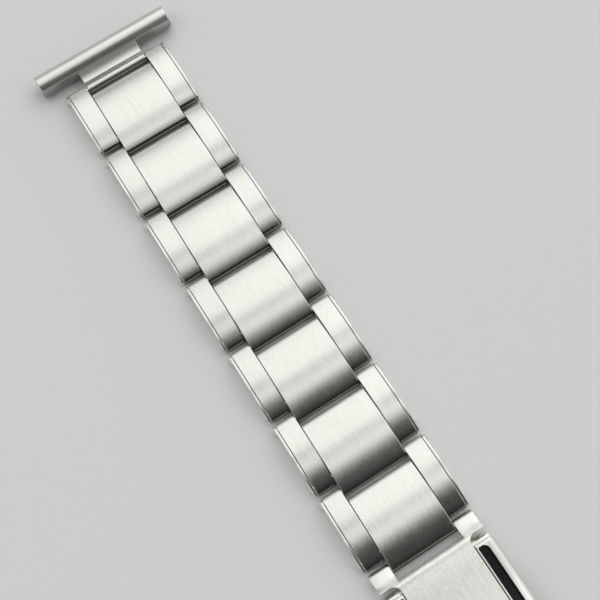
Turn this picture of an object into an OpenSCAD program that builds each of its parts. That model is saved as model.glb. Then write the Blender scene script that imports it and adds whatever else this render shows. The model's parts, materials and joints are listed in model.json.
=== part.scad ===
// Rivet link watch bracelet with straight end pieces and a fold-over clasp, laid out flat.
// X runs across the band, Y along it, Z up through the outer face. Half a lies toward +Y.

/* [Band] */
// Length of each end bar, which fills the space between a watch's lugs
lug_w = 20; // [16:0.5:24]
// Width of a row over its two side plates
band_w = 15.2; // [14.4:0.1:16.4]
// Width of a centre link
centre_w = 9.1; // [7.5:0.1:9.6]
// Distance from one hinge to the next
pitch = 10.6; // [9.4:0.1:13]
// Rows in the longer half
rows_a = 7; // [4:1:8]
// Rows in the shorter half
rows_b = 4; // [2:1:5]
// Height of a link at the middle of its crown
link_h = 2.15; // [1.9:0.05:2.5]
// Gap between the ends of neighbouring links
link_gap = 0.35; // [0.25:0.05:0.6]
// Gap between a centre link and the outer links beside it
side_gap = 0.08; // [0.05:0.01:0.15]

/* [Folded sheet and rivets] */
// Thickness of the sheet that the links are folded from
sheet_t = 0.27; // [0.22:0.01:0.32]
// Width of the seam where a folded strip's ends meet underneath
seam_w = 0.16; // [0.1:0.02:0.3]
// Radius of a rivet's shank
pin_r = 0.4; // [0.32:0.02:0.46]
// Radial play of a rivet or pin in its hole
pin_play = 0.03; // [0.02:0.01:0.05]
// Distance of the fixed rivet from the near end of its outer links
rivet_inset = 1.2; // [0.9:0.05:1.8]
// Radius of a rivet's head
head_r = 0.58; // [0.5:0.02:0.62]
// Height of a rivet's domed head
head_h = 0.28; // [0.2:0.02:0.4]
// Thickness of a side plate
plate_t = 0.35; // [0.25:0.05:0.5]
// Dark line between a side plate and the folded link inside it
plate_gap = 0.06; // [0.03:0.01:0.1]
// How much smaller all round a side plate is than the link behind it
plate_inset = 0.06; // [0.02:0.01:0.08]

/* [End piece] */
// Outside diameter of an end bar
bar_d = 3; // [2.6:0.1:3.4]
// Bore of an end bar, for a spring bar
bore_d = 1.9; // [1.5:0.1:2]
// Chamfer on the ends of an end bar
bar_chamfer = 0.15; // [0.05:0.05:0.25]
// Width of the neck between an end bar and the first row
neck_w = 8.9; // [7:0.1:9.1]
// Distance from an end bar's axis to the first hinge
end_reach = 3.5; // [3.3:0.1:4.5]
// Radius of the hollow across the neck, which runs up into the bar
hollow_r = 1.5; // [1.2:0.1:1.8]
// Height of the neck at the bottom of its hollow
hollow_h = 1.5; // [1.4:0.05:1.6]
// Distance of the neck's crease from the first hinge
crease_reach = 0.75; // [0.7:0.05:0.9]

/* [Clasp] */
// Distance between the rivets at the two ends of the clasp
clasp_span = 36; // [30:0.5:44]
// Radius that the clasp's leaves are curved to, for the wrist
arch_r = 110; // [80:5:200]
// Distance of each fold pin from the clasp's end rivet beside it
fold_inset = 3.2; // [3:0.1:4]
// Width of the cover's plate
cover_w = 10; // [8.4:0.1:10.4]
// Thickness of the cover
cover_t = 1; // [0.8:0.05:1.2]
// Width over the ears of the cover and of the inner blade
ear_w = 14.8; // [14:0.1:15.2]
// Length of an ear behind its rivet
ear_reach = 1.75; // [1.6:0.05:2]
// Depth of the notch between two ears, behind the rivet
notch_reach = 1.55; // [1.3:0.05:1.6]
// Fillet between an ear and the plate
ear_fillet = 1; // [0.5:0.1:1.2]
// Width of the frame over its rails
frame_w = 15.5; // [14.8:0.1:16]
// Thickness of the frame's floor
floor_t = 0.6; // [0.5:0.05:0.8]
// Thickness of the inner blade
blade_t = 0.7; // [0.5:0.05:0.8]
// Width over the inner blade's rolled hinge
blade_w = 15; // [14.4:0.1:15.4]
// Width of the inner blade at its waist
waist_w = 11.8; // [9:0.1:13]
// Gap between one leaf of the clasp and the next
leaf_gap = 0.15; // [0.1:0.01:0.2]
// Gap between the cover and the rails beside it
rail_gap = 0.1; // [0.08:0.01:0.2]
// Thickness of a rail's inner wall
rail_web = 0.23; // [0.2:0.01:0.4]
// Width of the slot along a rail
slot_w = 1.2; // [0.8:0.05:1.4]
// Wall left at each end of a slot
slot_end = 0.4; // [0.3:0.05:1]
// Radius of a rail's rounded outer edge
rail_round = 0.9; // [0.3:0.05:1]
// How far a rail starts behind the front fold pin
rail_start = 0.25; // [0.1:0.05:0.5]

/* [Hidden] */
HALVES = [["a", rows_a], ["b", rows_b]];
ROW_PARTS = ["outer_links", "side_plates", "centre_link", "rivets"];

// Fine enough for the drawn mesh to follow the true arcs
$fn = 48;
crown_fn = 240;
arch_fn = 720;

// How far a cut runs past what it cuts
spill = 1;

// How far a rolled end stands proud of the leaf that runs into it, so that their arcs cross
proud = 0.005;

// A knuckle is the sheet wrapped round a rivet, and the band lies on the underside of its knuckles
hole_r = pin_r + pin_play;
knuckle_r = hole_r + sheet_t;
pin_z = knuckle_r;

// Places along a row, measured from its hinge on the clasp's side
step = 2 * knuckle_r + link_gap;
outer_near = step;
outer_far = pitch;
centre_near = 0;
centre_far = pitch - step;
fixed_rivet = step - knuckle_r + rivet_inset;

// Places across a row
outer_in = centre_w / 2 + side_gap;
plate_in = band_w / 2 - plate_t;
outer_out = plate_in - plate_gap;

// Places along the band: the clasp's end rivets are set so that the band's middle is at y = 0
front_y = (clasp_span + (rows_b - rows_a) * pitch) / 2;
rear_y = front_y - clasp_span;

// The clasp's leaves as radii of the arch
blade_top = arch_r + blade_t;
frame_low = blade_top + leaf_gap;
floor_top = frame_low + floor_t;
cover_low = floor_top + leaf_gap;
cover_mid = cover_low + cover_t / 2;
cover_top = cover_low + cover_t;

// The front hinge is rolled from the blade and the frame's floor, the rear one from the frame's rails and the cover
fold_r = (floor_top - arch_r) / 2 + proud;
rail_end_r = (cover_top - frame_low) / 2 + proud;
fold_run = clasp_span / 2 - fold_inset;
fold_phi = asin(fold_run / arch_r);
arch_z = fold_r - (arch_r + floor_top) / 2 * cos(fold_phi);
front_fold = arc_point((arch_r + floor_top) / 2, -fold_phi);
rear_fold = arc_point((frame_low + cover_top) / 2, fold_phi);
clasp_top = arch_z + cover_top + spill;

// Places across the frame
rail_in = cover_w / 2 + rail_gap;
slot_in = rail_in + rail_web;
tongue_w = cover_w - 2 * rail_gap;

// Places along the arch, as angles
rail_phi = asin((fold_run - rail_start) / arch_r);
slot_phi = asin((fold_run - rail_start - slot_end) / arch_r);
slot_rear_phi = asin((fold_run - rail_end_r - slot_end) / arch_r);
past_phi = asin((fold_run + rail_end_r + spill) / arch_r);
root_phi = asin((clasp_span / 2 - ear_reach - ear_fillet / 2) / cover_mid);

// Places along the inner blade: where its arch comes down to a flat, and where that rises to the ears
blade_mid = arch_r + blade_t / 2;
flat_phi = acos((blade_t / 2 - arch_z) / blade_mid);
flat_end = clasp_span - ear_reach - ear_fillet / 2;
flat_end_phi = asin((flat_end - clasp_span / 2) / blade_top);

// A point of the arch, as distance behind the front rivet and height
function arc_point(r, phi) = [clasp_span / 2 + r * sin(phi), arch_z + r * cos(phi)];

// Radius of a crown that stands rise over two rolled ends of radius r, half to each side of it
function crown_radius(half, rise, r) = (half * half + rise * rise - r * r) / (2 * (rise - r));

// Draws a side view, in y and z, across the band from x0 to x1
module across(x0, x1) {
    translate([x0, 0, 0])
        rotate([90, 0, 90])
            linear_extrude(x1 - x0)
                children();
}

// Draws a side view on both sides of the band
module both_sides(x0, x1) {
    for (s = [0, 1])
        mirror([s, 0, 0])
            across(x0, x1)
                children();
}

// Two discs and the straight band that all but touches both
module taper(p, rp, q, rq) {
    a = atan2(q[1] - p[1], q[0] - p[0]);
    t = acos((rp - rq) / norm(q - p));
    translate(p) circle(rp);
    translate(q) circle(rq);
    polygon([for (e = [[p, rp, a + t], [p, rp, a - t], [q, rq, a - t], [q, rq, a + t]])
        e[0] + (e[1] - proud) * [cos(e[2]), sin(e[2])]]);
}

// Side view of a link: a crown that runs into a rolled end on each side, flat underneath
module link_outline(near, far, r, h) {
    half = (far - near) / 2;
    rise = h - pin_z;
    crown_r = crown_radius(half, rise, r - proud);
    lean = 2 * h / (crown_r - rise) * half;
    for (y = [near, far])
        translate([y, pin_z]) circle(r);
    intersection() {
        translate([near + half, h - crown_r]) circle(crown_r, $fn = crown_fn);
        polygon([
            [near, pin_z - r],
            [far, pin_z - r],
            [far, pin_z],
            [far + lean, pin_z + 2 * h],
            [near - lean, pin_z + 2 * h],
            [near, pin_z]
        ]);
    }
}

// Hollow of a folded link, between the sheet wrapped round its two rivets, with its seam
module link_hollow(near, far, low, high) {
    crown_r = crown_radius((far - near) / 2, link_h - pin_z, knuckle_r - proud);
    difference() {
        intersection() {
            translate([(near + far) / 2, link_h - crown_r]) circle(crown_r - sheet_t, $fn = crown_fn);
            translate([low, sheet_t]) square([high - low, link_h]);
        }
        for (y = [low, high])
            translate([y, pin_z]) circle(knuckle_r);
    }
    translate([(low + high) / 2 - seam_w / 2, -spill]) square([seam_w, spill + 2 * sheet_t]);
}

// A rivet hole in a side view
module rivet_hole(y) {
    translate([y, pin_z]) circle(hole_r);
}

// The two folded outer links of a row
module outer_links() {
    color("silver")
        both_sides(outer_in, outer_out)
            difference() {
                link_outline(outer_near, outer_far, knuckle_r, link_h);
                link_hollow(outer_near, outer_far, fixed_rivet, outer_far);
                rivet_hole(fixed_rivet);
                rivet_hole(outer_far);
            }
}

// The two side plates that the rivets are headed over
module side_plates() {
    color("gainsboro")
        both_sides(plate_in, band_w / 2)
            difference() {
                link_outline(outer_near, outer_far, knuckle_r - plate_inset, link_h - plate_inset);
                rivet_hole(fixed_rivet);
                rivet_hole(outer_far);
            }
}

// The folded centre link of a row, which turns on the rivet of the next row at its near end
module centre_link() {
    color("silver")
        across(-centre_w / 2, centre_w / 2)
            difference() {
                link_outline(centre_near, centre_far, knuckle_r, link_h);
                link_hollow(centre_near, centre_far, fixed_rivet, centre_far);
                rivet_hole(centre_near);
                rivet_hole(fixed_rivet);
            }
}

// A shank across the band with a domed head on each end
module rivet(half_w) {
    dome_r = (head_r * head_r + head_h * head_h) / (2 * head_h);
    translate([-half_w, 0, 0]) rotate([0, 90, 0]) cylinder(r = pin_r, h = 2 * half_w);
    for (s = [-1, 1])
        rotate([0, s * 90, 0])
            translate([0, 0, half_w])
                rotate_extrude()
                    intersection() {
                        translate([0, head_h - dome_r]) circle(dome_r, $fn = 96);
                        square([head_r, head_h]);
                    }
}

// The two rivets of a row: the hinge at its far end and the fixed one that holds its centre link
module row_rivets() {
    color("whitesmoke")
        for (y = [fixed_rivet, outer_far])
            translate([0, y, pin_z])
                rivet(band_w / 2);
}

// Side view of an end piece's neck: the rolled hinge, a crease, and a hollow that runs up into the bar
module neck_outline() {
    reach = bar_d / 2 + hollow_r - proud;
    lift = hollow_h + hollow_r - bar_d / 2;
    run = sqrt(reach * reach - lift * lift);
    hollow = [end_reach - run, hollow_h + hollow_r];
    difference() {
        square([end_reach, bar_d / 2 * (1 + lift / reach)]);
        translate([-spill, hollow_h + proud]) square([spill + hollow[0], bar_d]);
        translate([-spill, pin_z + knuckle_r / 2]) square([spill + crease_reach, bar_d]);
        translate(hollow) circle(hollow_r);
    }
    translate([0, pin_z]) circle(knuckle_r);
}

// A straight end piece: a tubular bar for the watch's lugs and a neck rolled round the first rivet
module end_piece() {
    color("lightgray")
        difference() {
            union() {
                translate([0, end_reach, bar_d / 2])
                    rotate([0, 90, 0])
                        rotate_extrude()
                            polygon([
                                [0, -lug_w / 2],
                                [bar_d / 2 - bar_chamfer, -lug_w / 2],
                                [bar_d / 2, -lug_w / 2 + bar_chamfer],
                                [bar_d / 2, lug_w / 2 - bar_chamfer],
                                [bar_d / 2 - bar_chamfer, lug_w / 2],
                                [0, lug_w / 2]
                            ]);
                across(-neck_w / 2, neck_w / 2) neck_outline();
            }
            translate([-lug_w / 2 - spill, end_reach, bar_d / 2])
                rotate([0, 90, 0])
                    cylinder(d = bore_d, h = lug_w + 2 * spill);
            across(-neck_w, neck_w) rivet_hole(0);
        }
}

// Side view of all that lies between two angles of the clasp's arch
module arch_wedge(phi0, phi1) {
    polygon([arc_point(0, 0), arc_point(2 * arch_r, phi1), arc_point(2 * arch_r, phi0)]);
}

// Side view of a leaf that lies between two radii and two angles of the arch
module arch_band(r0, r1, phi0, phi1) {
    intersection() {
        difference() {
            translate(arc_point(0, 0)) circle(r1, $fn = arch_fn);
            translate(arc_point(0, 0)) circle(r0, $fn = arch_fn);
        }
        arch_wedge(phi0, phi1);
    }
}

// Sweeps a cross-section, drawn as radius and x, along the arch
module along_arch(phi0, phi1) {
    translate([0, clasp_span / 2, arch_z])
        rotate([0, -90, 0])
            rotate([0, 0, phi0])
                rotate_extrude(angle = phi1 - phi0, $fn = arch_fn)
                    children();
}

// A rod across the clasp at a point of its side view
module cross_rod(p, r, half_w) {
    translate([-half_w, p[0], p[1]]) rotate([0, 90, 0]) cylinder(r = r, h = 2 * half_w);
}

// Raises a leaf's plan through the height of the clasp
module raise_plan() {
    translate([0, 0, -spill]) linear_extrude(clasp_top + spill) children();
}

// Plan of a leaf that ends in two ears with a notch between them, their rivet at y = 0
module tee_plan(plate_w, length) {
    front = knuckle_r + spill;
    difference() {
        union() {
            translate([-ear_w / 2, -front]) square([ear_w, front + ear_reach]);
            translate([-plate_w / 2, 0]) square([plate_w, length]);
            translate([-plate_w / 2 - ear_fillet, 0])
                square([plate_w + 2 * ear_fillet, ear_reach + ear_fillet]);
        }
        for (s = [-1, 1])
            translate([s * (plate_w / 2 + ear_fillet), ear_reach + ear_fillet]) circle(ear_fillet);
        translate([-outer_in, -front - spill]) square([2 * outer_in, front + spill + notch_reach]);
    }
}

// The cover: ears round the first rivet, and a plate that lies between the frame's rails
module clasp_cover() {
    color("silver")
        difference() {
            intersection() {
                across(-ear_w, ear_w) {
                    taper([0, pin_z], knuckle_r, arc_point(cover_mid, -root_phi), cover_t / 2 + proud);
                    arch_band(cover_low, cover_top, -root_phi, fold_phi);
                    translate(rear_fold) circle(rail_end_r);
                }
                raise_plan() tee_plan(cover_w, clasp_span);
            }
            cross_rod([0, pin_z], hole_r, ear_w);
            cross_rod(rear_fold, hole_r, ear_w);
        }
}

// Cross-section of the frame before its channel is cut, rounded on its outer edges
module frame_section() {
    difference() {
        translate([frame_low, -frame_w / 2]) square([cover_top - frame_low, frame_w]);
        for (s = [0, 1])
            mirror([0, s])
                translate([cover_top - rail_round, frame_w / 2 - rail_round]) square(rail_round + spill);
    }
    for (s = [-1, 1])
        translate([cover_top - rail_round, s * (frame_w / 2 - rail_round)]) circle(rail_round);
}

// The frame: a floor under the cover, a slotted rail on each side of it, and a tongue rolled round the front pin
module clasp_frame() {
    color("gainsboro")
        difference() {
            union() {
                difference() {
                    intersection() {
                        along_arch(-rail_phi, past_phi) frame_section();
                        across(-frame_w, frame_w) {
                            arch_wedge(-fold_phi, fold_phi);
                            translate(rear_fold) circle(rail_end_r);
                        }
                    }
                    across(-rail_in, rail_in) {
                        arch_band(floor_top, cover_top + spill, -fold_phi, past_phi);
                        arch_wedge(fold_phi, 2 * past_phi);
                        translate(rear_fold) circle(rail_end_r + leaf_gap);
                    }
                }
                across(-tongue_w / 2, tongue_w / 2) {
                    arch_band(frame_low + proud, floor_top - proud, -fold_phi, 0);
                    translate(front_fold) circle(fold_r);
                }
            }
            both_sides(slot_in, slot_in + slot_w)
                arch_band(floor_top, cover_top + spill, -slot_phi, slot_rear_phi);
            both_sides((tongue_w + rail_gap) / 2, frame_w)
                translate(front_fold) circle(fold_r + leaf_gap);
            cross_rod(front_fold, hole_r, frame_w);
            cross_rod(rear_fold, hole_r, frame_w);
        }
}

// Side view of the inner blade: a rolled hinge, an arched leaf, a flat, and a rise to the rolled ears
module blade_outline() {
    flat_start = arc_point(blade_mid, flat_phi)[0];
    ear = [clasp_span, pin_z];
    rise = [flat_end, blade_t];
    a = 180 - acos((knuckle_r - proud) / norm(ear - rise));
    translate(front_fold) circle(fold_r);
    intersection() {
        arch_band(arch_r, blade_top, -fold_phi, flat_end_phi);
        square(clasp_span);
    }
    polygon([
        [flat_start, 0],
        [flat_end, 0],
        [clasp_span, proud],
        ear + (knuckle_r - proud) * [cos(a), sin(a)],
        rise,
        [flat_start, blade_t]
    ]);
    translate(ear) circle(knuckle_r);
}

// Plan of the inner blade: its wide front end, a waist, and two ears for the shorter half
module blade_plan() {
    depth = (blade_w - waist_w) / 2;
    waist_start = 2 * fold_inset + 2 * depth;
    translate([0, clasp_span])
        mirror([0, 1])
            tee_plan(waist_w, clasp_span - waist_start + depth);
    difference() {
        translate([-blade_w / 2, 0]) square([blade_w, waist_start]);
        for (s = [-1, 1])
            translate([s * blade_w / 2, waist_start]) circle(depth);
    }
}

// The inner blade: it folds under the frame and carries the shorter half on its ears
module inner_blade() {
    color("silver")
        difference() {
            intersection() {
                across(-blade_w, blade_w) blade_outline();
                raise_plan() blade_plan();
            }
            across(-tongue_w / 2 - rail_gap, tongue_w / 2 + rail_gap)
                translate(front_fold) circle(fold_r + leaf_gap);
            cross_rod(front_fold, hole_r, frame_w);
            cross_rod([clasp_span, pin_z], hole_r, ear_w);
        }
}

// Puts a row, drawn from its hinge on the clasp's side, in its place in a half
module in_half(half, rows_from_clasp) {
    if (half == "a")
        translate([0, front_y + rows_from_clasp * pitch, 0]) children();
    else
        translate([0, rear_y - rows_from_clasp * pitch, 0]) mirror([0, 1, 0]) children();
}

// Puts a piece of the clasp, drawn from the front rivet backward, in its place
module in_clasp() {
    translate([0, front_y, 0]) mirror([0, 1, 0]) children();
}

// The rivet through the ears at one end of the clasp
module clasp_rivet(y) {
    color("whitesmoke")
        translate([0, y, pin_z])
            rivet(ear_w / 2);
}

// A plain pin that one leaf of the clasp folds on
module fold_pin(p, half_w) {
    color("whitesmoke")
        cross_rod(p, pin_r, half_w);
}

for (h = HALVES)
    for (k = [1 : h[1]]) {
        in_half(h[0], h[1] - k) outer_links();
        in_half(h[0], h[1] - k) side_plates();
        in_half(h[0], h[1] - k) centre_link();
        in_half(h[0], h[1] - k) row_rivets();
    }
in_half("a", rows_a) end_piece();  // a_end_piece
in_half("b", rows_b) end_piece();  // b_end_piece
in_clasp() clasp_cover();
in_clasp() clasp_rivet(0);  // cover_rivet
in_clasp() clasp_frame();
in_clasp() fold_pin(front_fold, blade_w / 2);  // front_fold_pin
in_clasp() fold_pin(rear_fold, frame_w / 2);  // rear_fold_pin
in_clasp() inner_blade();
in_clasp() clasp_rivet(clasp_span);  // blade_rivet
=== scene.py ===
import json
import math
import bmesh
import bpy
from mathutils import Matrix, Vector
from mathutils.geometry import tessellate_polygon


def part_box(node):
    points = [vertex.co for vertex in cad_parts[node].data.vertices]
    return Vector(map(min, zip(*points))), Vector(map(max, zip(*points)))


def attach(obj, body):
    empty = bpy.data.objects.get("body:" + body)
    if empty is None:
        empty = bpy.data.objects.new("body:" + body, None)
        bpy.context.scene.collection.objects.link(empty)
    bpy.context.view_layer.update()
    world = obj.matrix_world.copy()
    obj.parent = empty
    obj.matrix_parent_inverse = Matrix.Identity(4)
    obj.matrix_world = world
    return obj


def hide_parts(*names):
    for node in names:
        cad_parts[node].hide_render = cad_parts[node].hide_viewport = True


# Sizes are in millimetres until a mesh is made, angles in degrees
mm = 0.001
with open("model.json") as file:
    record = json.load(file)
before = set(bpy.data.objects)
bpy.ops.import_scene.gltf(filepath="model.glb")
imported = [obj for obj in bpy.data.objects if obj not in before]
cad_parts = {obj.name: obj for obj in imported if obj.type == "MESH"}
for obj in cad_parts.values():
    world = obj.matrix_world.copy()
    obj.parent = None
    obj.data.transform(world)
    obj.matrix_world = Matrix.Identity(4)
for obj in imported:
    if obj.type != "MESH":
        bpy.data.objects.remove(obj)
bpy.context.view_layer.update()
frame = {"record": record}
print("Frame loaded")

record = frame["record"]
joints = {j["name"]: j["pos_m"] for j in record["behaviour"]["joints"]}
bodyOf = {n: body for body, nodes in record["behaviour"]["bodies"].items() for n in nodes}
slotOf = {p["node"]: p["material_slot"] for p in record["subparts"]}


# Where a joint lies along the band
def jointAt(name):
    return joints[name][1] / mm


# How far a node reaches to one side of the band's middle
def halfWidth(node):
    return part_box(node)[1].x / mm


# A name of the frame in camel case: a1_centre_link becomes a1CentreLink
def camel(name):
    first, *others = name.split("_")
    return first + "".join(word.capitalize() for word in others)


# Evenly spaced values from start to end
def spread(start, end, count):
    return [start + (end - start) * k / count for k in range(count + 1)]


# The same with about the given step between them
def turns(start, end, step):
    return spread(start, end, max(1, round(abs(end - start) / step)))


# Shader maths

# A socket of a shader's nodes; the operators add Math nodes
class Wire:
    def __init__(self, shader, socket):
        self.shader, self.socket = shader, socket

    def __add__(self, other):
        return self.shader.maths("ADD", self, other)

    def __sub__(self, other):
        return self.shader.maths("SUBTRACT", self, other)

    def __rsub__(self, other):
        return self.shader.maths("SUBTRACT", other, self)

    def __mul__(self, other):
        return self.shader.maths("MULTIPLY", self, other)

    def __truediv__(self, other):
        return self.shader.maths("DIVIDE", self, other)

    def __rtruediv__(self, other):
        return self.shader.maths("DIVIDE", other, self)

    def __abs__(self):
        return self.shader.maths("ABSOLUTE", self)

    __radd__ = __add__
    __rmul__ = __mul__


# The nodes of a material or of the world
class Shader:
    def __init__(self, owner):
        owner.use_nodes = True
        self.owner = owner
        self.tree = owner.node_tree
        self.tree.nodes.clear()

    # Adds a node: its settings first, then values or wires on its sockets
    def node(self, kind, settings=None, values=None, out=0):
        made = self.tree.nodes.new("ShaderNode" + kind)
        for name, value in (settings or {}).items():
            setattr(made, name, value)
        for name, value in (values or {}).items():
            socket = made.inputs[name]
            if isinstance(value, Wire):
                self.tree.links.new(value.socket, socket)
            else:
                socket.default_value = value
        return Wire(self, made.outputs[out]) if made.outputs else None

    def maths(self, operation, *values):
        return self.node("Math", {"operation": operation}, dict(enumerate(values)))

    # 0 where the value is at start, 1 where it is at end, soft between them
    def fade(self, value, start, end, low=0, high=1):
        limits = {"From Min": start, "From Max": end, "To Min": low, "To Max": high}
        return self.node("MapRange", {"interpolation_type": "SMOOTHSTEP"}, {"Value": value, **limits})

    # Mixes two colours, which are sockets 6 and 7 and output 2 of the node
    def blend(self, factor, a, b):
        a, b = ((*c, 1) if isinstance(c, tuple) else c for c in (a, b))
        return self.node("Mix", {"data_type": "RGBA"}, {0: factor, 6: a, 7: b}, 2)

    # Noise round 0.5 whose cells measure the given millimetres along x, y and z
    def noise(self, cell, detail=2, roughness=0.5):
        place = self.node("TexCoord", out="Object")
        scaled = self.node("VectorMath", {"operation": "MULTIPLY"},
                           {0: place, 1: [1 / (c * mm) for c in cell]})
        return self.node("TexNoise", {"noise_dimensions": "3D"},
                         {"Vector": scaled, "Scale": 1, "Detail": detail, "Roughness": roughness})

    def axis(self, vector, name):
        return self.node("SeparateXYZ", {}, {0: vector}, name)

    # A coordinate of the band at rest, in millimetres
    def at(self, name):
        return self.axis(self.node("TexCoord", out="Object"), name) / mm

    def attribute(self, name):
        return self.node("Attribute", {"attribute_name": name}, out="Fac")

    def surface(self, values):
        self.node("OutputMaterial", {}, {"Surface": self.node("BsdfPrincipled", {}, values)})
        return self.owner


# Sizes that several pieces share

link = {
    "height": 2.15,
    "sheet": 0.27,
    "seam": 0.16,  # underneath, where the strip's ends meet
    "soft": 0.05,  # rounding of those ends
    "shank": 0.4,  # radius of rivets and pins
    "play": 0.03,  # round a shank
    "gap": 0.35,  # between a centre link's roll and the next one's
    "sideGap": 0.08,  # between centre and outer links
    "fixedRivet": 2.25,  # from the hinge
    "plate": 0.35,
    "plateGap": 0.06,
    "plateInset": 0.06,  # of a plate's outline from its link's
    "rim": 0.07,
    "plateRim": 0.09,
    "headRadius": 0.58,
    "headHeight": 0.28,
    "headEdge": 0.02,
}
clasp = {
    "archRadius": 110,  # of the inner blade's underside
    "blade": 0.7,  # the leaves' thicknesses
    "floor": 0.6,
    "cover": 1,
    "leafGap": 0.15,
    "foldInset": 3.2,  # from an end rivet to its fold pin
    "coverHalf": 5,
    "earReach": 1.75,  # from the rivet to where the ears end
    "notchReach": 1.55,
    "fillet": 1,
    "proud": 0.005,  # how far the rolls stand out of the leaves
    "rim": 0.09,
    "dish": 0.12,  # of the ears
    "nose": 0.5,  # rounding of the notch's edge
    "noseLean": 4,  # angle by which that edge starts past the ears' slope
    "plateSoft": 0.2,
    "plateRim": 0.02,
    "earSoft": 0.1,
    "pinSoft": 0.08,
}
rail = {
    "in": 5.1,
    "start": 0.25,  # from the front pin
    "round": 0.9,
    "soft": 0.1,
    "web": 0.23,  # inside the slot
    "slot": 1.2,
    "slotEnd": 0.4,
    "slotSoft": 0.12,
    "corner": 0.7,  # of the slot, in front and outside
    "mouth": 0.07,  # rounding of the slot's edge
    "seam": 0.27,  # behind the rail's front
    "seamWidth": 0.05,
    "seamDepth": 0.07,
}
hole = link["shank"] + link["play"]
roll = hole + link["sheet"]
pinZ = roll
step = 2 * roll + link["gap"]
frontY = jointAt("a_hinge_8")
rearY = jointAt("b_hinge_5")
pitch = jointAt("a_hinge_7") - frontY
span = frontY - rearY
foldRun = span / 2 - clasp["foldInset"]

# The clasp's leaves, as radii of the arch that they follow
bladeTop = clasp["archRadius"] + clasp["blade"]
frameLow = bladeTop + clasp["leafGap"]
floorTop = frameLow + clasp["floor"]
coverLow = floorTop + clasp["leafGap"]
coverTop = coverLow + clasp["cover"]
frontRoll = (floorTop - clasp["archRadius"]) / 2 + clasp["proud"]
rearRoll = (coverTop - frameLow) / 2 + clasp["proud"]
foldLean = math.degrees(math.asin(foldRun / clasp["archRadius"]))
archZ = frontRoll - (clasp["archRadius"] + floorTop) / 2 * math.cos(math.radians(foldLean))


# A point of the arch, as distance behind the front rivet and height
def archPoint(radius, lean):
    a = math.radians(lean)
    return span / 2 + radius * math.sin(a), archZ + radius * math.cos(a)


def archArc(radius, start, end, step=0.5):
    return [archPoint(radius, lean) for lean in turns(start, end, step)]


# Distance behind the front rivet of the place on the cover's top that lies so far inside a fold pin
def inFold(inside, side):
    lean = math.degrees(math.asin((foldRun - inside) / clasp["archRadius"]))
    return archPoint(coverTop, side * lean)[0]


slotIn = rail["in"] + rail["web"]
slotOut = slotIn + rail["slot"]
slotFront = inFold(rail["start"] + rail["slotEnd"], -1)
slotRear = inFold(rearRoll + rail["slotEnd"], 1)
frontFold = archPoint((clasp["archRadius"] + floorTop) / 2, -foldLean)
rearFold = archPoint((frameLow + coverTop) / 2, foldLean)

# Steel

steelLook = {
    "pale": (0.9, 0.893, 0.84),
    "dull": (0.72, 0.71, 0.66),
    # dark is the colour of the painted shade on rolled ends and cut sides
    "dark": (0.1, 0.1, 0.1),
    "edge": (0.95, 0.94, 0.9),
    "grain": (0.06, 7, 0.06),  # noise cells across the grain, along it and upward
    "streak": (0.25, 14, 0.25),
    "scratch": (0.05, 2.2, 0.05),
    "cloud": (5, 9, 5),
    "wave": (1.4, 2.2, 1.4),
    "streakShare": 0.6,
    "scratchFrom": 0.68,
    "scratchTo": 0.76,
    "scratchShare": 0.4,
    "cloudTone": 0.2,
    "toneRange": 0.35,
    "bump": 0.02,  # height of the relief
}
roughBy = {"lines": 0.2, "cloud": 0.06, "edge": 0.06, "scratch": 0.04}  # what changes the roughness

# The ears' polish ends behind the rivet; grainKept and roughKept say what is left of the brushing on them
earPolish = {"from": 1.7, "to": 2.7, "grainKept": 0.25, "roughKept": 0.55, "wave": 25}

# Painted shade in a rail's slot: the depth at which the slot's walls turn dark, and how near its edges
slotShade = {
    "colour": (0.02, 0.02, 0.02),
    "from": 0.15,
    "to": 0.45,
    "in": 0.04,
    "outFrom": 0.1,
    "outTo": 0.06,
    "front": 0.06,
}

# Distances from a rolled end: a neck's matt hollow, where painted shade darkens an end, and a link's rough
# far roll
hollowMatt = {"from": 1.4, "to": 2, "more": 0.14}
rollShade = {"reach": 1.25, "full": 0.1}
farRoll = {"from": pitch - step + roll, "to": pitch - step + roll * 1.6, "more": 0.3}

# Cut sides that face sideways get painted shade
wallShade = {"from": 0.8, "to": 0.97}  # how squarely a cut side faces sideways
# Below the height barBright gives, an end bar gets painted shade on its underside
barBright = 0.75  # height on an end bar above which its steel is bright, as a share of its radius


# Where a place lies deep in a rail's slot and gets painted shade
def slotShadeMask(s):
    aside = abs(s.at("X"))
    back, lift = s.at("Y") - (frontY - span / 2), s.at("Z") - archZ
    radius = s.maths("SQRT", back * back + lift * lift)
    within = s.fade(aside, slotIn - slotShade["in"], slotIn)
    within = within * s.fade(aside, slotOut + slotShade["outFrom"], slotOut + slotShade["outTo"])
    within = within * s.fade(frontY - s.at("Y"), slotFront - slotShade["front"], slotFront)
    return within * s.fade(coverTop - radius, slotShade["from"], slotShade["to"])


# Where a face is the cut side of a strip, which gets painted shade
def wallMask(s):
    facing = abs(s.axis(s.node("NewGeometry", out="Normal"), "X"))
    return s.fade(facing, wallShade["from"], wallShade["to"])
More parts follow.
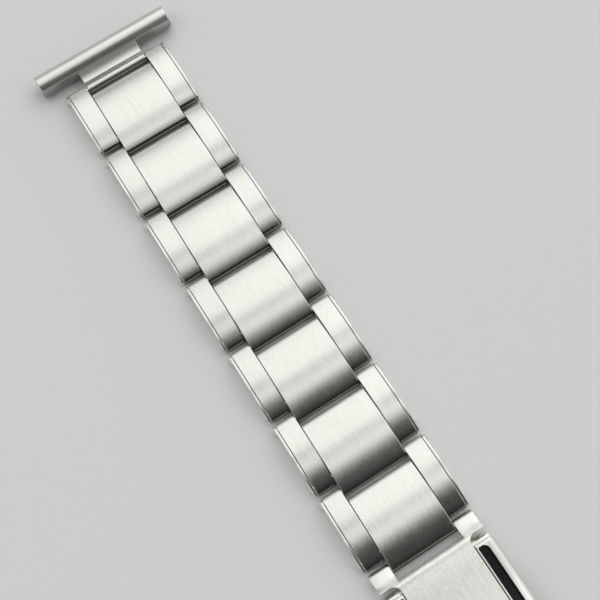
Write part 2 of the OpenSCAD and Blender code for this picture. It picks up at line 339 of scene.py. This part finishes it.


# Steel with its grain along the band, or across it
# rough, grain and relief say how it is brushed, worn how bright the edges are
# ends and walls say how much painted shade darkens the rolled ends and the cut sides, reach how far from an
# end that starts
def steel(name, rough, grain, relief, worn, ends=0, reach=rollShade["reach"], walls=0, part="", across=False):
    look = steelLook
    s = Shader(bpy.data.materials.new(name))

    def lined(kind, detail=2):
        x, y, z = look[kind]
        return s.noise((y, x, z) if across else (x, y, z), detail)

    fine, streak, scratch = lined("grain", 3), lined("streak"), lined("scratch", 1)
    cloud = s.noise(look["cloud"])
    scratch = s.fade(scratch, look["scratchFrom"], look["scratchTo"])
    edge, place = s.attribute("edge"), s.attribute("fromEnd")
    lines = (fine - 0.5) * grain + (streak - 0.5) * grain * look["streakShare"]
    height = fine + streak * look["streakShare"] - scratch * look["scratchShare"]
    if part == "ears":
        kept = earPolish["roughKept"]
        brushed = s.fade(frontY - s.at("Y"), earPolish["from"], earPolish["to"], earPolish["grainKept"], 1)
        lines = lines * brushed
        rough = rough * kept + brushed * rough * (1 - kept)
        height = height * brushed + (1 - brushed) * s.noise(look["wave"], 0) * earPolish["wave"]
    if part == "neck":
        rough = s.fade(place, hollowMatt["from"], hollowMatt["to"]) * hollowMatt["more"] + rough
    tone = (cloud - 0.5) * look["cloudTone"] + lines
    top = s.blend(s.fade(tone, -look["toneRange"], look["toneRange"]), look["dull"], look["pale"])
    if ends:
        # Painted shade on the rolled ends, from reach to full darkness at the end
        top = s.blend(s.fade(place, reach, rollShade["full"]) * ends, top, look["dark"])
        rough = s.fade(place, farRoll["from"], farRoll["to"]) * farRoll["more"] + rough
    top = s.blend(edge * worn, top, look["edge"])
    if walls:
        # Painted shade on cut sides that face sideways
        top = s.blend(wallMask(s) * walls, top, look["dark"])
    if part == "slots":
        # Painted shade deep in the rails' slots
        top = s.blend(slotShadeMask(s), top, slotShade["colour"])
    roughness = lines * roughBy["lines"] + (cloud - 0.5) * roughBy["cloud"] - edge * roughBy["edge"]
    roughness = roughness - scratch * roughBy["scratch"] + rough
    bumps = s.node("Bump", {}, {"Strength": relief, "Distance": look["bump"] * mm, "Height": height})
    return s.surface({"Base Color": top, "Roughness": roughness, "Metallic": 1, "Normal": bumps})


finishLooks = {
    # ends and walls here are painted shade on rolled ends and cut sides
    "brushed_links": {"rough": 0.23, "grain": 0.5, "relief": 0.2, "worn": 0.5, "ends": 0.75, "walls": 0.85},
    "polished_plates": {"rough": 0.19, "grain": 0.3, "relief": 0.12, "worn": 0.7, "ends": 0.3},
    "rivet_steel": {"rough": 0.16, "grain": 0.2, "relief": 0.1, "worn": 0.6},
    "end_satin": {"rough": 0.34, "grain": 0.3, "relief": 0.15, "worn": 0.5, "ends": 0.65,
                  "reach": barBright, "part": "neck", "across": True},
    "clasp_brushed": {"rough": 0.24, "grain": 0.8, "relief": 0.3, "worn": 0.6, "part": "ears"},
    "clasp_polished": {"rough": 0.13, "grain": 0.2, "relief": 0.08, "worn": 0.7, "part": "slots"},
}
finishes = {slot: steel(camel(slot), **look) for slot, look in finishLooks.items()}
print("Steel made")


# Outlines, drawn in a piece's own side view or plan

def arc(centre, radius, start, end, step=7):
    angles = [math.radians(a) for a in turns(start, end, step)]
    return [(centre[0] + radius * math.cos(a), centre[1] + radius * math.sin(a)) for a in angles]


# A full circle as the outline of a hole, and of a solid
def ring(centre, radius, step=15):
    return arc(centre, radius, 360, step, step)


def disc(centre, radius, step=7.5):
    return ring(centre, radius, step)[::-1]


# Rounds the corners of a closed outline that are sharper than the given turn
def soften(loop, radius, sharp=40, step=25, share=0.45):
    out = []
    for i, corner in enumerate(loop):
        here, before, after = Vector(corner), Vector(loop[i - 1]), Vector(loop[(i + 1) % len(loop)])
        back, on = before - here, after - here
        turn = math.pi - back.angle(on)
        if turn < math.radians(sharp):
            out.append(corner)
            continue
        reach = min(radius * math.tan(turn / 2), back.length * share, on.length * share)
        first, last = here + back.normalized() * reach, here + on.normalized() * reach
        for t in spread(0, 1, max(2, round(math.degrees(turn) / step))):
            out.append(tuple(first * (1 - t) ** 2 + here * (2 * t * (1 - t)) + last * t ** 2))
    return out


# Puts more points on the long stretches of a closed outline
def refine(loop, longest):
    out = []
    for i, corner in enumerate(loop):
        here, after = Vector(corner), Vector(loop[(i + 1) % len(loop)])
        count = max(1, math.ceil((after - here).length / longest))
        out += [tuple(here.lerp(after, k / count)) for k in range(count)]
    return out


# Moves a closed outline to the side where its solid lies: its left; least keeps sharp corners near
def inset(loop, distance, least=0.35):
    out = []
    for i, corner in enumerate(loop):
        here = Vector(corner)
        come = (here - Vector(loop[i - 1])).normalized()
        go = (Vector(loop[(i + 1) % len(loop)]) - here).normalized()
        a, b = Vector((-come.y, come.x)), Vector((-go.y, go.x))
        out.append(tuple(here + (a + b) * (distance / max(least, 1 + a.dot(b)))))
    return out


# Lowest and highest point of an outline at one place along it
def spanAt(loop, place):
    heights = []
    for i, (u, z) in enumerate(loop):
        v, w = loop[i - 1]
        if min(u, v) <= place <= max(u, v) and u != v:
            heights.append(z + (w - z) * (place - u) / (v - u))
    return min(heights), max(heights)


def angleFrom(centre, point):
    return math.degrees(math.atan2(point[1] - centre[1], point[0] - centre[0]))


# The point of the line through a and b that lies at one place along it
def between(a, b, place):
    return place, a[1] + (b[1] - a[1]) * (place - a[0]) / (b[0] - a[0])


def onRim(centre, radius, angle):
    return arc(centre, radius, angle, angle)[0]


# An outline from its right half
def mirrored(side):
    return side + [(-x, y) for x, y in reversed(side)]


# Solids

# Stations along a sweep whose two ends have rounded rims: place, how far the outline draws in, edge wear
def rims(start, end, rim, count=3):
    quarter = [(rim * (1 - math.cos(a)), rim * (1 - math.sin(a)), math.sin(2 * a))
               for a in spread(0, math.pi / 2, count)]
    first = [(start + run, draw, worn) for run, draw, worn in quarter]
    return first + [(end - run, draw, worn) for run, draw, worn in reversed(quarter)]


# Stations of a cutter that flares where it leaves the solid, so that the edge it leaves is rounded
def flare(rim, lean=75, count=3, over=0.01, end=1):
    out = [(-rim * (1 - math.sin(a)), -rim * (1 - math.cos(a)), math.sin(2 * a))
           for a in spread(0, math.radians(lean), count)]
    low, wide, _ = out[-1]
    wide -= (over - low) * math.tan(math.radians(lean))
    return out + [(over, wide, 0), (end, wide, 0)]


class Solid:
    def __init__(self):
        self.bm = bmesh.new()
        self.fromEnd = self.bm.verts.layers.float.new("fromEnd")
        self.edge = self.bm.verts.layers.float.new("edge")

    def vert(self, place, fromEnd=0, edge=0):
        v = self.bm.verts.new(place)
        v[self.fromEnd], v[self.edge] = fromEnd, edge
        return v

    # Carries closed outlines through stations; put says where an outline's point lies at a station
    def sweep(self, loops, stations, put, start=0):
        rows = []
        for at, distance, worn in stations:
            rows.append([[self.vert(put(at, a, b), a - start, worn) for a, b in inset(loop, distance)]
                         for loop in loops])
        for one, two in zip(rows, rows[1:]):
            for a, b in zip(one, two):
                for i in range(len(a)):
                    j = (i + 1) % len(a)
                    self.bm.faces.new((a[i], a[j], b[j], b[i]))
        for row, (_, distance, _) in ((rows[0], stations[0]), (rows[-1], stations[-1])):
            verts = [v for loop in row for v in loop]
            flat = [[Vector((a, b, 0)) for a, b in inset(loop, distance)] for loop in loops]
            for tri in tessellate_polygon(flat):
                self.bm.faces.new([verts[i] for i in tri])
        return self

    # A side view carried across the band from x0 to x1; origin and way put it along the band
    def slab(self, loops, x0, x1, origin, way, rim, start=0):
        return self.sweep(loops, rims(x0, x1, rim), lambda x, u, z: (x, origin + way * u, z), start)

    # The same on both sides of the band's middle
    def pair(self, loops, x0, x1, *place):
        return self.slab(loops, x0, x1, *place).slab(loops, -x1, -x0, *place)

    # A profile of x and radius turned round an axis across the band; shade turns a height into fromEnd,
    # which sets the painted shade on an end bar's underside
    def lathe(self, profile, y, z, count=32, closed=False, shade=lambda lift: 0):
        rows = []
        for x, r in profile:
            angles = [2 * math.pi * k / count for k in range(count)] if r else [0]
            rows.append([self.vert((x, y + r * math.cos(a), z + r * math.sin(a)), shade(math.sin(a)))
                         for a in angles])
        pairs = list(zip(rows, rows[1:])) + ([(rows[-1], rows[0])] if closed else [])
        for a, b in pairs:
            for k in range(count):
                m = (k + 1) % count
                face = [a[k % len(a)], a[m % len(a)], b[m % len(b)], b[k % len(b)]]
                self.bm.faces.new(list(dict.fromkeys(face)))
        return self

    def mesh(self):
        bmesh.ops.recalc_face_normals(self.bm, faces=self.bm.faces)
        made = bpy.data.meshes.new("part")
        self.bm.to_mesh(made)
        self.bm.free()
        return made


# Joins a mesh to another, or cuts one with the other
def combine(mesh, operation, tool):
    pair = [bpy.data.objects.new("part", mesh), bpy.data.objects.new("tool", tool)]
    for obj in pair:
        bpy.context.scene.collection.objects.link(obj)
    cut = pair[0].modifiers.new("cut", "BOOLEAN")
    cut.operation, cut.object, cut.solver = operation, pair[1], "MANIFOLD"
    made = bpy.data.meshes.new_from_object(pair[0].evaluated_get(bpy.context.evaluated_depsgraph_get()))
    for obj in pair:
        bpy.data.objects.remove(obj)
    return made


# Makes the object that stands for a node, on that node's body and with its finish
def make(node, mesh, smooth=35):
    mesh.name = camel(node)
    mesh.transform(Matrix.Scale(mm, 4))
    mesh.shade_smooth()
    mesh.set_sharp_from_angle(angle=math.radians(smooth))
    mesh.materials.clear()
    mesh.materials.append(finishes[slotOf[node]])
    obj = bpy.data.objects.new(mesh.name, mesh)
    bpy.context.scene.collection.objects.link(obj)
    normals = obj.modifiers.new("Normals", "WEIGHTED_NORMAL")
    normals.keep_sharp = True
    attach(obj, bodyOf[node])
    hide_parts(node)


# Rows

centreHalf = halfWidth("a1_centre_link")
bandHalf = halfWidth("a1_side_plates")


# Radius, centre and end angle of the crown over two rolled ends
def crown(near, far, radius, height):
    half, rise = (far - near) / 2, height - pinZ
    big = (half ** 2 + rise ** 2 - radius ** 2) / (2 * (rise - radius))
    return big, ((near + far) / 2, height - big), math.degrees(math.asin(half / (big - radius)))


def linkOutline(near, far, radius, height):
    big, centre, tip = crown(near, far, radius, height)
    return (arc((far, pinZ), radius, -90, 90 - tip) + arc(centre, big, 90 - tip, 90 + tip, 2)[1:-1]
            + arc((near, pinZ), radius, 90 + tip, 270))


# The higher of the points where two circles cross
def crossing(a, ra, b, rb):
    d = Vector(b) - Vector(a)
    along = (d.length_squared + ra ** 2 - rb ** 2) / (2 * d.length)
    aside = Vector((-d.y, d.x)).normalized() * math.sqrt(ra ** 2 - along ** 2)
    middle = Vector(a) + d.normalized() * along
    return max(middle + aside, middle - aside, key=lambda p: p.y)


# A link folded from sheet round pins at low and high: its outline with the hollow and the seam underneath
def foldedLoop(near, far, low, high):
    t = link["sheet"]
    big, centre, tip = crown(near, far, roll, link["height"])
    foot = math.degrees(math.asin((pinZ - t) / roll))
    lowPin, highPin = (low, pinZ), (high, pinZ)
    top = centre[1] + math.sqrt((big - t) ** 2 - (low - centre[0]) ** 2)
    if top < pinZ + roll:
        start = crossing(lowPin, roll, centre, big - t)
        inner = arc(lowPin, roll, -foot, angleFrom(lowPin, start))
    else:
        start = (low, top)
        inner = arc(lowPin, roll, -foot, 90) + [start]
    end = crossing(highPin, roll, centre, big - t)
    inner += arc(centre, big - t, angleFrom(centre, start), angleFrom(centre, end), 2)[1:]
    inner += arc(highPin, roll, angleFrom(highPin, end), 180 + foot)[1:]
    left, right = (low + high - link["seam"]) / 2, (low + high + link["seam"]) / 2
    outer = linkOutline(near, far, roll, link["height"])
    return soften(outer + [(left, 0), (left, t)] + inner + [(right, t), (right, 0)], link["soft"])


def rivetHoles(*places):
    return [ring((y, pinZ), hole) for y in places]


# A rivet from head to head, as x and radius
def rivetProfile(half, count=8):
    r, h, edge = link["headRadius"], link["headHeight"], link["headEdge"]
    dome = (r * r + h * h) / (2 * h)
    side = [(half + h, 0)]
    for a in spread(0, math.asin(r / dome), count)[1:]:
        side.append((half + h - dome + dome * math.cos(a), dome * math.sin(a)))
    return mirrored(side + [(half + edge, r + edge / 2), (half, r - edge / 2), (half, link["shank"])])


outerIn = centreHalf + link["sideGap"]
plateIn = bandHalf - link["plate"]
outerOut = plateIn - link["plateGap"]
fixed = link["fixedRivet"]
far = pitch - step
small = link["plateInset"]
centreLoops = [foldedLoop(0, far, fixed, far)] + rivetHoles(0, fixed)
outerLoops = [foldedLoop(step, pitch, fixed, pitch)] + rivetHoles(fixed, pitch)
plateLoops = [linkOutline(step, pitch, roll - small, link["height"] - small)] + rivetHoles(fixed, pitch)
halves = {
    "a": {"rows": 7, "way": 1},
    "b": {"rows": 4, "way": -1},
}
for half, size in halves.items():
    for k in range(1, size["rows"] + 1):
        hinge, way = jointAt(f"{half}_hinge_{k + 1}"), size["way"]
        inner, outer = (hinge, way, link["rim"], -roll), (hinge, way, link["rim"], step - roll)
        flank = (hinge, way, link["plateRim"], step - roll)
        pieces = {
            "centre_link": Solid().slab(centreLoops, -centreHalf, centreHalf, *inner),
            "outer_links": Solid().pair(outerLoops, outerIn, outerOut, *outer),
            "side_plates": Solid().pair(plateLoops, plateIn, bandHalf, *flank),
            "rivets": Solid(),
        }
        for y in (fixed, pitch):
            pieces["rivets"].lathe(rivetProfile(bandHalf), hinge + way * y, pinZ)
        for kind, solid in pieces.items():
            make(f"{half}{k}_{kind}", solid.mesh())
print("Rows made")

# End pieces

endPiece = {
    "bar": 1.5,
    "bore": 0.95,
    "chamfer": 0.15,
    "barSoft": 0.05,
    "barDark": 0.05,  # height up to which the bar's painted shade is deepest, told as barBright is
    "reach": 3.5,  # from the hinge to the bar's middle
    "neck": 4.45,
    "neckRim": 0.07,
    "neckSoft": 0.06,
    "hollow": 1.5,
    "hollowHeight": 1.5,
    "crease": 0.75,
    "step": 1.05,
    "inWall": (250, 158),  # angles round the bar between which the neck ends inside its wall
    "rollEnd": 268,  # angle round the rivet at which the roll ends
    "overlap": 3,  # angle by which the hollow runs into the bar
}


# Side view of a neck, from its hinge into the wall of the bar
def neckLoop(e):
    bar = (e["reach"], e["bar"])
    wall = (e["bar"] + e["bore"]) / 2
    lift = e["hollowHeight"] + e["hollow"] - e["bar"]
    run = math.sqrt((e["bar"] + e["hollow"]) ** 2 - lift ** 2)
    hollow = (e["reach"] - run, e["hollowHeight"] + e["hollow"])
    lean = math.degrees(math.atan2(lift, run)) + e["overlap"]
    foot = math.degrees(math.asin((e["step"] - pinZ) / roll))
    inWall = arc(bar, wall, *e["inWall"])
    loop = [(0, 0), (inWall[0][0], 0)] + inWall + arc(hollow, e["hollow"], -lean, -90)
    loop += [(e["crease"], e["hollowHeight"]), (e["crease"], e["step"])]
    return soften(loop + arc((0, pinZ), roll, foot, e["rollEnd"]), e["neckSoft"])


def barProfile(e):
    end, c = halfWidth("a_end_piece"), e["chamfer"]
    side = [(end - c / 2, e["bore"]), (end, e["bore"] + c / 2), (end, e["bar"] - c), (end - c, e["bar"])]
    return soften(mirrored(side), e["barSoft"], 30)


# Painted shade on an end bar's underside: a height turned into fromEnd, low under the bar
def barShade(lift):
    return max(0, min(barBright, lift - endPiece["barDark"]))


e = endPiece
for half, size in halves.items():
    hinge, way = jointAt(half + "_hinge_1"), size["way"]
    bar = Solid().lathe(barProfile(e), hinge + way * e["reach"], e["bar"], 96, closed=True, shade=barShade)
    loops, place = [neckLoop(e)] + rivetHoles(0), (hinge, way, e["neckRim"], -roll)
    neck = Solid().slab(loops, -e["neck"], e["neck"], *place)
    make(half + "_end_piece", combine(bar.mesh(), "UNION", neck.mesh()))
print("End pieces made")

# Clasp

earHalf = halfWidth("cover_rivet") - link["headHeight"]
railHalf = halfWidth("clasp_frame")
coverHalf = clasp["coverHalf"]
notch = clasp["notchReach"]
earEnd = clasp["earReach"]
fillet = clasp["fillet"]
nearEdge = 0.01  # how near a leaf's end, and its fold pin, cutters still follow its side view
nearFold = 0.05
past = {"out": 9, "fold": 6, "rear": 40}  # how far cutters go: outward, from a fold pin, and rearward
wide = past["out"]


def inClasp(x, c, z):
    return x, frontY - c, z


def claspSlab(loops, x0, x1, rim=clasp["rim"]):
    return Solid().slab(loops, x0, x1, frontY, -1, rim).mesh()


def bothSides(loops, x0, x1, rim=clasp["rim"]):
    return Solid().pair(loops, x0, x1, frontY, -1, rim).mesh()


# Cuts a plan away on both sides of the band, through the leaf whose side view is given
def cutPlan(mesh, plan, leaf, ends, rim=clasp["rim"], longest=1.2):
    top = [((1, d), w, e) for d, w, e in flare(rim)]
    bottom = [((0, -d), w, e) for d, w, e in reversed(flare(rim))]

    def put(at, x, c):
        low, high = spanAt(leaf, min(max(c, ends[0]), ends[1]))
        upper, lift = at
        return inClasp(x, c, (high if upper else low) + lift)

    for side in (1, -1):
        loop = refine([(x * side, c) for x, c in plan][::side], longest)
        mesh = combine(mesh, "DIFFERENCE", Solid().sweep([loop], bottom + top, put).mesh())
    return mesh


# Angles at which a straight leaf touches the ear that it is rolled into
def earTangents(pin, leaf, leafHalf):
    run = Vector(leaf) - Vector(pin)
    lean = math.degrees(math.atan2(run.y, run.x))
    opening = math.degrees(math.acos((roll - leafHalf) / run.length))
    return lean + opening, lean - opening


# What a pin's hole takes away, all across the clasp
def bore(centre, rim=0.01):
    return claspSlab([disc(centre, hole, 15)], -wide, wide, rim)


def pinProfile(half):
    r, soft = link["shank"], clasp["pinSoft"]
    return mirrored([(half, 0), (half, r - soft), (half - soft, r)])


# Cover: a plate between the rails, two ears round the front rivet, and a roll round the rear pin
coverMid = clasp["cover"] / 2
rootLean = math.degrees(math.asin((span / 2 - earEnd - fillet / 2) / (coverTop - coverMid)))
root = archPoint(coverTop - coverMid, -rootLean)
topTurn, lowTurn = earTangents((0, pinZ), root, coverMid)
topLine = onRim((0, pinZ), roll, topTurn), onRim(root, coverMid, topTurn)
lowLine = onRim((0, pinZ), roll, lowTurn), onRim(root, coverMid, lowTurn)
earAt, rootAt = topLine[0][0], topLine[1][0]


# Top of an ear, which is dished a little between its roll and the plate
def earTop(place):
    share = (place - earAt) / (rootAt - earAt)
    dip = clasp["dish"] * math.sin(math.pi * min(1, max(0, share))) ** 2
    return place, between(*topLine, place)[1] - dip


# Side view of the plate, from under the notch to its rear end and back over the top to the nose
nose = clasp["nose"]
noseTurn = topTurn + clasp["noseLean"]
noseEnd = notch + nose * (1 + math.cos(math.radians(noseTurn)))
noseAt = (notch + nose, earTop(noseEnd)[1] - nose * math.sin(math.radians(noseTurn)))
coverLoop = [between(*lowLine, notch)] + archArc(coverLow, -rootLean, foldLean)
coverLoop += archArc(coverTop, foldLean, -rootLean) + [earTop(p) for p in spread(rootAt, noseEnd, 3)[:-1]]
coverLoop += arc(noseAt, nose, noseTurn, 180)
plate = [soften(coverLoop, clasp["plateSoft"])]
cover = claspSlab(plate, -coverHalf - fillet, coverHalf + fillet, clasp["plateRim"])
earLoop = [between(*lowLine, rootAt)] + [earTop(p) for p in spread(rootAt, earAt, 14)]
earLoop += arc((0, pinZ), roll, topTurn, 360 + lowTurn)[1:]
ears = [soften(earLoop, clasp["earSoft"])] + rivetHoles(0)
cover = combine(cover, "UNION", bothSides(ears, outerIn, earHalf))

# The plan leaves fillets between plate and ears
besides = [(wide, earEnd), (wide, span), (coverHalf, span)]
besides += arc((coverHalf + fillet, earEnd + fillet), fillet, 180, 270)
cover = cutPlan(cover, besides, coverLoop, (notch + nose + nearEdge, rearFold[0] - nearFold))
cover = combine(cover, "UNION", claspSlab([disc(rearFold, rearRoll)], -coverHalf, coverHalf))
make("clasp_cover", combine(cover, "DIFFERENCE", bore(rearFold)))
print("Cover made")

# Frame: a floor with a slotted rail on each side, and a tongue rolled round the front pin

tongue = {
    "half": 4.9,
    "gap": 0.05,
    "rim": 0.06,
    "sunk": 0.01,  # how far its faces lie inside the floor's
    "lowFrom": 0.37,  # where its faces start behind the front pin, in degrees of the arch
    "topFrom": 0.08,
    "rollFrom": 79,
    "rollTo": 370,
}
railRun = 2  # length over which the rails run on, before they are cut round the rear pin


# Stations along the arch from a rounded front rim, with a fine seam behind it
def railStations(start, end, slope=0.01, worn=0.6, rest=0.3, count=30):
    seam = start + rail["seam"]
    back, depth = seam + rail["seamWidth"], rail["seamDepth"]
    stations = rims(start, end, clasp["rim"])
    stations = stations[:len(stations) // 2]
    stations += [(seam, 0, worn), (seam + slope, depth, 0), (back, depth, 0), (back + slope, 0, worn)]
    return stations + [(at, 0, 0) for at in spread(seam + rest, end, count)]


# A place along the arch, given as a length on its own radius
def onArch(at, x, radius):
    return inClasp(x, *archPoint(radius, math.degrees(at / clasp["archRadius"])))


def inSlot(radius, x, c):
    return inClasp(x, c, archZ + math.sqrt(radius ** 2 - (c - span / 2) ** 2))


edgeAt = (railHalf - rail["round"], coverTop - rail["round"])
side = [(railHalf, frameLow)] + arc(edgeAt, rail["round"], 0, 90)
side += [(rail["in"], coverTop), (rail["in"], floorTop)]
section = soften(mirrored(side), rail["soft"])
railStart = clasp["archRadius"] * math.asin((foldRun - rail["start"]) / clasp["archRadius"])
body = Solid().sweep([section], railStations(-railStart, foldRun + railRun), onArch).mesh()

# The rear end is rounded about its pin, and between the rails it leaves room for the cover's roll
up = 90 - foldLean
above, below = onRim(rearFold, past["fold"], up), onRim(rearFold, past["fold"], up - 180)
whole = [(0, -wide), below] + arc(rearFold, rearRoll, up - 180, up) + [above, (0, wide)]
body = combine(body, "INTERSECT", claspSlab([whole], -wide, wide))
channel = [above] + arc(rearFold, rearRoll + clasp["leafGap"], up, up + 180)
channel += [below, (span + wide, -wide), (span + wide, wide)]
body = combine(body, "DIFFERENCE", claspSlab([channel], -rail["in"], rail["in"]))

# The tongue, with room for the blade's rolls beside it
frontClear = [disc(frontFold, frontRoll + clasp["leafGap"])]
body = combine(body, "DIFFERENCE", bothSides(frontClear, tongue["half"] + tongue["gap"], wide))
tongueLoop = archArc(frameLow + tongue["sunk"], tongue["lowFrom"] - foldLean, 0)
tongueLoop += archArc(floorTop - tongue["sunk"], 0, tongue["topFrom"] - foldLean)
tongueLoop += arc(frontFold, frontRoll, tongue["rollFrom"] + foldLean, tongue["rollTo"] + foldLean)
body = combine(body, "UNION", claspSlab([tongueLoop], -tongue["half"], tongue["half"], tongue["rim"]))
for centre in (frontFold, rearFold):
    body = combine(body, "DIFFERENCE", bore(centre))

# The slots
cornerAt = (slotOut - rail["corner"], slotFront + rail["corner"])
plan = arc(cornerAt, rail["corner"], -90, 0) + [(slotOut, slotRear), (slotIn, slotRear), (slotIn, slotFront)]
plan = refine(soften(plan, rail["slotSoft"]), longest=1.5)
mouth = [(floorTop, 0, 0)] + [(coverTop + d, w, e) for d, w, e in flare(rail["mouth"])]
for way in (1, -1):
    cutter = Solid().sweep([[(x * way, c) for x, c in plan][::way]], mouth, inSlot).mesh()
    body = combine(body, "DIFFERENCE", cutter)
make("clasp_frame", body)
print("Frame made")

# Inner blade: rolled round the front pin beside the tongue, with a waist, a flat and two ears

blade = {
    "half": 7.5,
    "waist": 5.9,
    "corner": 1.6,
    "rollIn": 5,
}
ear = (span, pinZ)
rise = span - earEnd - fillet / 2
flatTop = math.degrees(math.acos((clasp["blade"] - archZ) / bladeTop))
flatLow = math.degrees(math.acos(-archZ / clasp["archRadius"]))
riseTurn = 180 - math.degrees(math.acos(roll / (span - rise)))
upLine = (rise, clasp["blade"]), onRim(ear, roll, riseTurn)
leafEnd, earsFrom = span - notch, span - earEnd
leafLoop = archArc(clasp["archRadius"], -foldLean, flatLow) + [(rise, 0), (leafEnd, 0)]
leafLoop += [between(*upLine, leafEnd), (rise, clasp["blade"])] + archArc(bladeTop, flatTop, -foldLean)
leaf = claspSlab([leafLoop], -blade["half"], blade["half"])

# The plan narrows behind the front pin's rolls and widens again to the ears
waistAt = 2 * clasp["foldInset"] + 2 * blade["corner"]
besides = [(wide, waistAt - blade["corner"])] + arc((blade["half"], waistAt), blade["corner"], 270, 180)
besides += arc((blade["waist"] + fillet, earsFrom - fillet), fillet, 180, 90)
besides += [(earHalf, earsFrom), (earHalf, past["rear"]), (wide, past["rear"])]
leaf = cutPlan(leaf, besides[::-1], leafLoop, (frontFold[0] + nearFold, leafEnd - nearEdge))
earLoop = [(earsFrom, 0)] + arc(ear, roll, -90, riseTurn) + [between(*upLine, earsFrom)]
ears = [soften(earLoop, clasp["earSoft"]), ring(ear, hole)]
leaf = combine(leaf, "UNION", bothSides(ears, outerIn, earHalf))
leaf = combine(leaf, "DIFFERENCE", claspSlab(frontClear, -blade["rollIn"], blade["rollIn"]))
leaf = combine(leaf, "UNION", bothSides([disc(frontFold, frontRoll)], blade["rollIn"], blade["half"]))
make("inner_blade", combine(leaf, "DIFFERENCE", bore(frontFold)))
print("Blade made")

for node, y in (("cover_rivet", frontY), ("blade_rivet", rearY)):
    make(node, Solid().lathe(rivetProfile(earHalf), y, pinZ).mesh())
for node, (c, z) in (("front_fold_pin", frontFold), ("rear_fold_pin", rearFold)):
    make(node, Solid().lathe(pinProfile(halfWidth(node)), frontY - c, z).mesh())
print("Pins made")

# Stage, whose floor and lamps are in metres

stage = {
    "floorSize": 3,
    "floorDrop": 0.00003,  # below the band
    "floorColour": (0.9, 0.9, 0.9),
    "floorRough": 0.9,
}
bm = bmesh.new()
bmesh.ops.create_grid(bm, x_segments=1, y_segments=1, size=stage["floorSize"] / 2)
mesh = bpy.data.meshes.new("floor")
bm.to_mesh(mesh)
bm.free()
floor = bpy.data.objects.new("floor", mesh)
floor.location.z = -stage["floorDrop"]
bpy.context.scene.collection.objects.link(floor)
paper = Shader(bpy.data.materials.new("paper"))
colour = (*stage["floorColour"], 1)
mesh.materials.append(paper.surface({"Base Color": colour, "Roughness": stage["floorRough"]}))

# The room grows lighter to the right and duller past the longer half
# It has a dark patch over the shorter half
room = {
    "left": (0.42, 0.42, 0.42),
    "right": (0.9, 0.9, 0.9),
    "far": (0.4, 0.4, 0.4),
    "dark": (0.03, 0.03, 0.03),
    "rightAt": 0.6,
    "farFrom": 0.65,
    "farTo": 0.92,
    "darkFrom": -0.13,
    "darkTo": -0.37,
    "darkLow": 0.03,
    "darkHigh": 0.2,
    "darkNear": 0.35,
    "darkFar": 0.5,
}
world = bpy.data.worlds.new("room")
s = Shader(world)
across, along, height = (s.axis(s.node("TexCoord", out="Generated"), name) for name in "XYZ")
light = s.blend(s.fade(across, -room["rightAt"], room["rightAt"]), room["left"], room["right"])
light = s.blend(s.fade(along, room["farFrom"], room["farTo"]), light, room["far"])
patch = s.fade(along, room["darkFrom"], room["darkTo"]) * s.fade(height, room["darkLow"], room["darkHigh"])
patch = patch * s.fade(abs(across), room["darkFar"], room["darkNear"])
air = s.node("Background", {}, {"Color": s.blend(patch, light, room["dark"])})
s.node("OutputWorld", {}, {"Surface": air})
bpy.context.scene.world = world

# Two softboxes with a darker gap between them, which the crowns of the links show as soft bands
# A lamp's energy over four times its area is how bright its face is
lamps = {
    "softbox": {"lean": 36, "distance": 1.2, "size": (3.37, 1.095), "glow": 0.33},
    "strip": {"lean": -4, "distance": 1.2, "size": (3.37, 0.253), "glow": 0.24},
}
for name, look in lamps.items():
    lamp = bpy.data.objects.new(name, bpy.data.lights.new(name, "AREA"))
    lamp.data.shape = "RECTANGLE"
    lamp.data.size, lamp.data.size_y = look["size"]
    lamp.data.energy = look["glow"] * 4 * look["size"][0] * look["size"][1]
    lean = math.radians(look["lean"])
    lamp.location = look["distance"] * Vector((0, math.sin(lean), math.cos(lean)))
    lamp.rotation_euler = (-lamp.location).to_track_quat("-Z", "Y").to_euler()
    bpy.context.scene.collection.objects.link(lamp)

view = {
    "place": (-9.69, 8.56, 121.66),
    "aim": (4.1, 36.04, 0),
    "turn": 32.34,
    "lens": 58.5,
    "sensor": 36,
    "near": 5,
}
camera = bpy.data.objects.new("camera", bpy.data.cameras.new("camera"))
place = Vector(view["place"])
back = (place - Vector(view["aim"])).normalized()
turn = math.radians(view["turn"])
right = Vector((math.sin(turn), math.cos(turn), 0)).cross(back).normalized()
facing = Matrix((right, back.cross(right), back)).transposed()
camera.matrix_world = Matrix.Translation(place * mm) @ facing.to_4x4()
camera.data.lens = view["lens"]
camera.data.sensor_width = view["sensor"]
camera.data.clip_start = view["near"] * mm
bpy.context.scene.collection.objects.link(camera)
bpy.context.scene.camera = camera
bpy.context.scene.view_settings.view_transform = "Standard"
print("Stage set")
